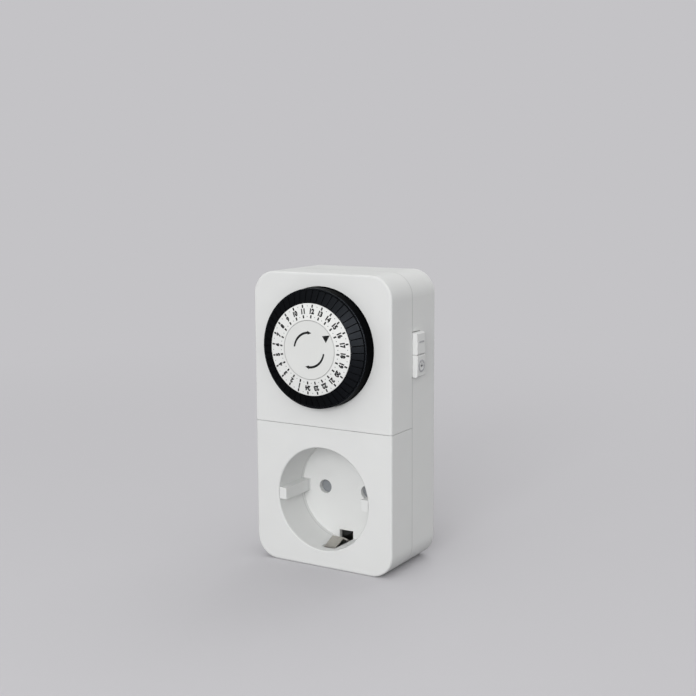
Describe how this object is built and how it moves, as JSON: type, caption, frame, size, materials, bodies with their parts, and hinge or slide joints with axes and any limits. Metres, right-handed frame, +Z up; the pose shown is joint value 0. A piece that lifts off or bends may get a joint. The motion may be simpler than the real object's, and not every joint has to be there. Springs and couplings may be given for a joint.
{
  "type": "plug-in timer switch",
  "caption": "Plug-in mechanical segment timer: a box with an earthed plug behind, an earthed socket in front and a turning tappet dial.",
  "frame": {"origin": "middle of the two plug pins, on the end face of the plug boss", "axes": "+Y out of the back along the plug pins, the dial and the socket face -Y, +Z up the housing from the socket to the dial, +X to the right seen from the front"},
  "size_m": [0.0625, 0.0787, 0.113],
  "materials": {
    "housing_plastic": "moulded, fine satin",
    "dial_plastic": "moulded, satin",
    "dial_print": "printed, satin",
    "inner_plastic": "moulded",
    "acetal": "moulded",
    "nickel": "nickel plated, polished",
    "brass": "pressed",
    "steel": "zinc plated",
    "copper_alloy": "rolled spring strip",
    "lead_insulation": "extruded"
  },
  "bodies": {
    "housing": {"rear_housing": "housing_plastic", "clock_cover": "housing_plastic", "socket_cover": "housing_plastic", "socket_insert": "housing_plastic", "housing_screws": "steel", "plug_pins": "nickel", "earth_contact": "nickel", "neutral_contact": "brass", "line_contact": "brass", "line_strip": "brass", "mechanism_plate": "inner_plastic", "plate_screws": "steel", "dial_post": "inner_plastic", "centre_disc": "dial_print", "clutch_arbor": "steel", "motor_can": "steel", "motor_lid": "steel", "motor_leads": "lead_insulation", "switch_base": "inner_plastic", "lever_pin": "steel", "rocker_pin": "steel", "shutter_clip": "steel"},
    "dial": {"dial_ring": "dial_plastic", "hour_disc": "dial_print"},
    "clutch_pinion": {"clutch_pinion": "acetal"},
    "clutch_wheel": {"clutch_wheel": "brass", "clutch_spring": "steel"},
    "idler": {"idler_gear": "acetal"},
    "motor_shaft": {"motor_pinion": "steel"},
    "lever": {"feeler_lever": "acetal"},
    "blade": {"contact_blade": "copper_alloy"},
    "rocker": {"mode_rocker": "housing_plastic"},
    "shutter": {"shutter": "inner_plastic"},
    "tappets_00": {"tappets_00": "dial_plastic"},
    "tappets_01": {"tappets_01": "dial_plastic"},
    "tappets_02": {"tappets_02": "dial_plastic"},
    "tappets_03": {"tappets_03": "dial_plastic"},
    "tappets_04": {"tappets_04": "dial_plastic"},
    "tappets_05": {"tappets_05": "dial_plastic"},
    "tappets_06": {"tappets_06": "dial_plastic"},
    "tappets_07": {"tappets_07": "dial_plastic"},
    "tappets_08": {"tappets_08": "dial_plastic"},
    "tappets_09": {"tappets_09": "dial_plastic"},
    "tappets_10": {"tappets_10": "dial_plastic"},
    "tappets_11": {"tappets_11": "dial_plastic"},
    "tappets_12": {"tappets_12": "dial_plastic"},
    "tappets_13": {"tappets_13": "dial_plastic"},
    "tappets_14": {"tappets_14": "dial_plastic"},
    "tappets_15": {"tappets_15": "dial_plastic"},
    "tappets_16": {"tappets_16": "dial_plastic"},
    "tappets_17": {"tappets_17": "dial_plastic"},
    "tappets_18": {"tappets_18": "dial_plastic"},
    "tappets_19": {"tappets_19": "dial_plastic"},
    "tappets_20": {"tappets_20": "dial_plastic"},
    "tappets_21": {"tappets_21": "dial_plastic"},
    "tappets_22": {"tappets_22": "dial_plastic"},
    "tappets_23": {"tappets_23": "dial_plastic"}
  },
  "joints": [
    {"name": "dial_turn", "type": "hinge", "parent": "housing", "child": "dial", "pos_m": [0, 0, 0.0586], "axis": [0, 1, 0], "continuous": true},
    {"name": "clutch_pinion_turn", "type": "hinge", "parent": "housing", "child": "clutch_pinion", "pos_m": [-0.00509, 0, 0.04768], "axis": [0, 1, 0], "continuous": true},
    {"name": "clutch_wheel_turn", "type": "hinge", "parent": "housing", "child": "clutch_wheel", "pos_m": [-0.00509, 0, 0.04768], "axis": [0, 1, 0], "continuous": true},
    {"name": "idler_turn", "type": "hinge", "parent": "housing", "child": "idler", "pos_m": [-0.0082, 0, 0.05724], "axis": [0, 1, 0], "continuous": true},
    {"name": "motor_pinion_turn", "type": "hinge", "parent": "housing", "child": "motor_shaft", "pos_m": [0.00062, 0, 0.06116], "axis": [0, 1, 0], "continuous": true},
    {"name": "feeler_lever_tilt", "type": "hinge", "parent": "housing", "child": "lever", "pos_m": [0.01632, -0.0377, 0.0464], "axis": [-1, 0, 0], "range_deg": [-5.4, 0]},
    {"name": "contact_blade_flex", "type": "hinge", "parent": "housing", "child": "blade", "pos_m": [0.01632, -0.0354, 0.0449], "axis": [-1, 0, 0], "range_deg": [-12, 0]},
    {"name": "mode_rocker_tilt", "type": "hinge", "parent": "housing", "child": "rocker", "pos_m": [0.02695, 0, 0.0557], "axis": [0, 1, 0], "range_deg": [-3.5, 3.5]},
    {"name": "shutter_turn", "type": "hinge", "parent": "housing", "child": "shutter", "pos_m": [0, 0, 0], "axis": [0, 1, 0], "range_deg": [0, 38], "stiffness_Nm_per_rad": 0.0005},
    {"name": "tappet_press_00", "type": "slide", "parent": "dial", "child": "tappets_00", "axis": [0, 1, 0], "range_m": [0, 0.0025]},
    {"name": "tappet_press_01", "type": "slide", "parent": "dial", "child": "tappets_01", "axis": [0, 1, 0], "range_m": [0, 0.0025]},
    {"name": "tappet_press_02", "type": "slide", "parent": "dial", "child": "tappets_02", "axis": [0, 1, 0], "range_m": [0, 0.0025]},
    {"name": "tappet_press_03", "type": "slide", "parent": "dial", "child": "tappets_03", "axis": [0, 1, 0], "range_m": [0, 0.0025]},
    {"name": "tappet_press_04", "type": "slide", "parent": "dial", "child": "tappets_04", "axis": [0, 1, 0], "range_m": [0, 0.0025]},
    {"name": "tappet_press_05", "type": "slide", "parent": "dial", "child": "tappets_05", "axis": [0, 1, 0], "range_m": [0, 0.0025]},
    {"name": "tappet_press_06", "type": "slide", "parent": "dial", "child": "tappets_06", "axis": [0, 1, 0], "range_m": [0, 0.0025]},
    {"name": "tappet_press_07", "type": "slide", "parent": "dial", "child": "tappets_07", "axis": [0, 1, 0], "range_m": [0, 0.0025]},
    {"name": "tappet_press_08", "type": "slide", "parent": "dial", "child": "tappets_08", "axis": [0, 1, 0], "range_m": [0, 0.0025]},
    {"name": "tappet_press_09", "type": "slide", "parent": "dial", "child": "tappets_09", "axis": [0, 1, 0], "range_m": [0, 0.0025]},
    {"name": "tappet_press_10", "type": "slide", "parent": "dial", "child": "tappets_10", "axis": [0, 1, 0], "range_m": [0, 0.0025]},
    {"name": "tappet_press_11", "type": "slide", "parent": "dial", "child": "tappets_11", "axis": [0, 1, 0], "range_m": [0, 0.0025]},
    {"name": "tappet_press_12", "type": "slide", "parent": "dial", "child": "tappets_12", "axis": [0, 1, 0], "range_m": [0, 0.0025]},
    {"name": "tappet_press_13", "type": "slide", "parent": "dial", "child": "tappets_13", "axis": [0, 1, 0], "range_m": [0, 0.0025]},
    {"name": "tappet_press_14", "type": "slide", "parent": "dial", "child": "tappets_14", "axis": [0, 1, 0], "range_m": [0, 0.0025]},
    {"name": "tappet_press_15", "type": "slide", "parent": "dial", "child": "tappets_15", "axis": [0, 1, 0], "range_m": [0, 0.0025]},
    {"name": "tappet_press_16", "type": "slide", "parent": "dial", "child": "tappets_16", "axis": [0, 1, 0], "range_m": [0, 0.0025]},
    {"name": "tappet_press_17", "type": "slide", "parent": "dial", "child": "tappets_17", "axis": [0, 1, 0], "range_m": [0, 0.0025]},
    {"name": "tappet_press_18", "type": "slide", "parent": "dial", "child": "tappets_18", "axis": [0, 1, 0], "range_m": [0, 0.0025]},
    {"name": "tappet_press_19", "type": "slide", "parent": "dial", "child": "tappets_19", "axis": [0, 1, 0], "range_m": [0, 0.0025]},
    {"name": "tappet_press_20", "type": "slide", "parent": "dial", "child": "tappets_20", "axis": [0, 1, 0], "range_m": [0, 0.0025]},
    {"name": "tappet_press_21", "type": "slide", "parent": "dial", "child": "tappets_21", "axis": [0, 1, 0], "range_m": [0, 0.0025]},
    {"name": "tappet_press_22", "type": "slide", "parent": "dial", "child": "tappets_22", "axis": [0, 1, 0], "range_m": [0, 0.0025]},
    {"name": "tappet_press_23", "type": "slide", "parent": "dial", "child": "tappets_23", "axis": [0, 1, 0], "range_m": [0, 0.0025]}
  ],
  "couplings": [
    {"joint": "clutch_pinion_turn", "follows": "dial_turn", "ratio": -3},
    {"joint": "idler_turn", "follows": "clutch_wheel_turn", "ratio": -4},
    {"joint": "motor_pinion_turn", "follows": "clutch_wheel_turn", "ratio": 20},
    {"joint": "contact_blade_flex", "follows": "feeler_lever_tilt", "ratio": 0.9}
  ]
}
